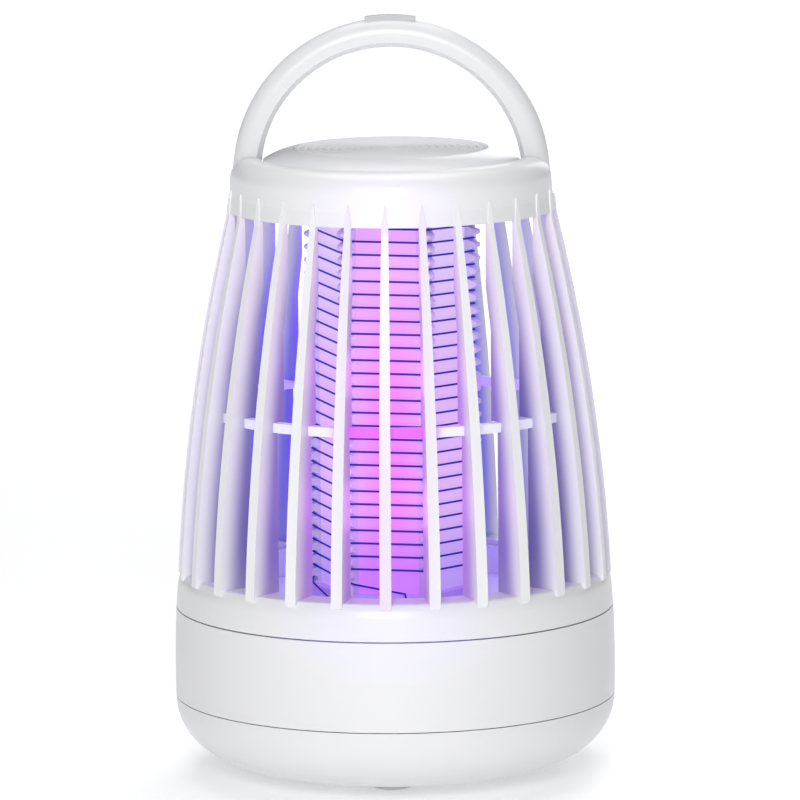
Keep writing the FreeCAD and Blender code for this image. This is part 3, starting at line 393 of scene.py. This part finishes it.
finish_with(moulded("foot_grey", colour(0.66, 0.67, 0.70), 0.55, coat=0.0), "rubber_feet")
finish_with(moulded("button_grey", colour(0.66, 0.67, 0.71), 0.4), "power_button")
finish_with(moulded("pipe_clear", colour(0.82, 0.86, 0.88), 0.12), "charge_light_pipe")
finish_with(moulded("led_board", colour(0.78, 0.79, 0.82), 0.5), "uv_led_board")
finish_with(moulded("led_resin", colour(0.60, 0.50, 0.95), 0.2), "uv_leds")
finish_with(moulded("cell_wrap", colour(0.10, 0.26, 0.52), 0.35), "battery_cell")
finish_with(moulded("cradle_white", colour(0.76, 0.76, 0.78), 0.5, coat=0.0), "battery_cradle")
finish_with(moulded("lead_red", colour(0.50, 0.03, 0.03), 0.45), "battery_leads")
finish_with(moulded("board_green", colour(0.03, 0.20, 0.09), 0.45), "main_pcb")
finish_with(moulded("ferrite_dark", colour(0.05, 0.05, 0.055), 0.6, coat=0.0),
            "hv_transformer_core")
finish_with(moulded("coil_wrap", colour(0.62, 0.46, 0.12), 0.4), "hv_transformer_coil")
finish_with(moulded("capacitor_blue", colour(0.06, 0.16, 0.46), 0.3), "multiplier_capacitors")
finish_with(moulded("diode_black", colour(0.03, 0.03, 0.035), 0.4),
            "multiplier_diodes", "tact_switch")


# ---------------------------------------------------------------- floor, light and camera

FLOOR_SIZE = 60.0           # its edges stay out of sight from low viewpoints
LIGHTS_AIM = (0.0, 0.0, 0.11)
AREA_LIGHTS = (             # name, place, side of the square and power
    ("front", (-0.08, -1.45, 0.62), 0.6, 12.0),
    ("rear", (0.35, 1.50, 0.60), 0.7, 4.0),
    ("top", (0.0, 0.25, 1.3), 1.0, 9.0),
)
GLOW_HEIGHTS = (0.085, 0.125, 0.155)
GLOW_RADIUS = 0.036         # the glow lights stand between the column and the blades
GLOW_SET_BACK = 0.012       # the ones at the sides stand this far behind the axis

CAMERA_ELEVATION = math.radians(8.79)
CAMERA_AZIMUTH = math.radians(2.4)
CAMERA_ROLL = math.radians(0.465)
CAMERA_DISTANCE = 2.0
CAMERA_AIM = Vector((0.0, 0.0, 0.112))


def make_floor():
    """A pale floor. The lights fall off away from the object, and its own glow makes up for it."""
    bpy.ops.mesh.primitive_plane_add(size=FLOOR_SIZE, location=(0.0, 0.0, 0.0))
    floor = bpy.context.object
    floor.name = "floor"
    shader = Shader("floor_pale")
    pale = shader.mix(shader.noise(3.0), colour(0.80, 0.80, 0.81), colour(0.82, 0.82, 0.83))
    shader.set(Base_Color=pale, Roughness=0.6)
    distance = shader.vector_math("LENGTH", shader.place)["Value"]
    far = shader.between(distance, 0.30, 1.8, 0.31, 0.80)
    in_front = shader.times(shader.blob((0.0, -0.24, 0.0), (0.16, 0.18, 1.0)), 0.5)
    shader.set(Emission_Color=colour(1.0, 1.0, 1.0), Emission_Strength=shader.plus(far, in_front))
    floor.data.materials.append(shader.material)


def add_light(name, kind, place, power):
    data = bpy.data.lights.new(name, kind)
    data.energy = power
    light = bpy.data.objects.new(name, data)
    light.location = place
    bpy.context.scene.collection.objects.link(light)
    return light


def area_light(name, place, side, power):
    """Square light turned to the object."""
    light = add_light(name, "AREA", place, power)
    light.data.shape = "RECTANGLE"
    light.data.size = light.data.size_y = side
    towards = Vector(LIGHTS_AIM) - Vector(place)
    light.rotation_euler = towards.to_track_quat("-Z", "Y").to_euler()


def glow_light(name, place, power, tint):
    """Small lamp inside the cage that stands for the tube's own light on the blades."""
    light = add_light(name, "POINT", place, power)
    light.data.color = tint
    light.data.shadow_soft_size = 0.008
    light.visible_camera = False


def make_world():
    """A pale sky, dimmer to the left and right, like dark cards beside the object."""
    world = bpy.data.worlds.new("studio")
    bpy.context.scene.world = world
    world.use_nodes = True
    sky = Nodes(world.node_tree)
    background = world.node_tree.nodes["Background"]
    sky.link(colour(0.97, 0.975, 1.0), background.inputs["Color"])
    sideways = sky.split(sky.add("ShaderNodeTexCoord").outputs["Generated"])[0]
    strength = sky.between(sky.math("ABSOLUTE", sideways), 0.25, 0.9, 0.34, 0.06, curve="LINEAR")
    sky.link(strength, background.inputs["Strength"])


def make_lights():
    for name, place, side, power in AREA_LIGHTS:
        area_light(name, place, side, power)
    for height in GLOW_HEIGHTS:
        label = round(height * 1000)
        for side in (-1, 1):
            glow_light(f"glow_side_{side + 1}_{label}", (side * GLOW_RADIUS, GLOW_SET_BACK, height),
                       0.004, (0.30, 0.22, 1.0))
        glow_light(f"glow_front_{label}", (0.0, -GLOW_RADIUS, height), 0.003, (1.0, 0.35, 0.95))
        glow_light(f"glow_rear_{label}", (0.0, GLOW_RADIUS, height), 0.007, (0.25, 0.15, 1.0))


def make_camera():
    """Long lens, a little above the object and slightly to its right, rolled by half a degree."""
    level = math.cos(CAMERA_ELEVATION)
    back = Vector((math.sin(CAMERA_AZIMUTH) * level, -math.cos(CAMERA_AZIMUTH) * level,
                   math.sin(CAMERA_ELEVATION)))
    data = bpy.data.cameras.new("camera")
    data.lens = 300.0
    data.sensor_width = 36.0
    data.shift_x = 0.0085
    data.clip_end = 20.0
    camera = bpy.data.objects.new("camera", data)
    bpy.context.scene.collection.objects.link(camera)
    place = Matrix.Translation(CAMERA_AIM + back * CAMERA_DISTANCE)
    turn = (-back).to_track_quat("-Z", "Y").to_matrix().to_4x4()
    camera.matrix_world = place @ turn @ Matrix.Rotation(-CAMERA_ROLL, 4, "Z")
    bpy.context.scene.camera = camera


make_floor()
make_world()
make_lights()
make_camera()
bpy.context.scene.view_settings.view_transform = "Standard"
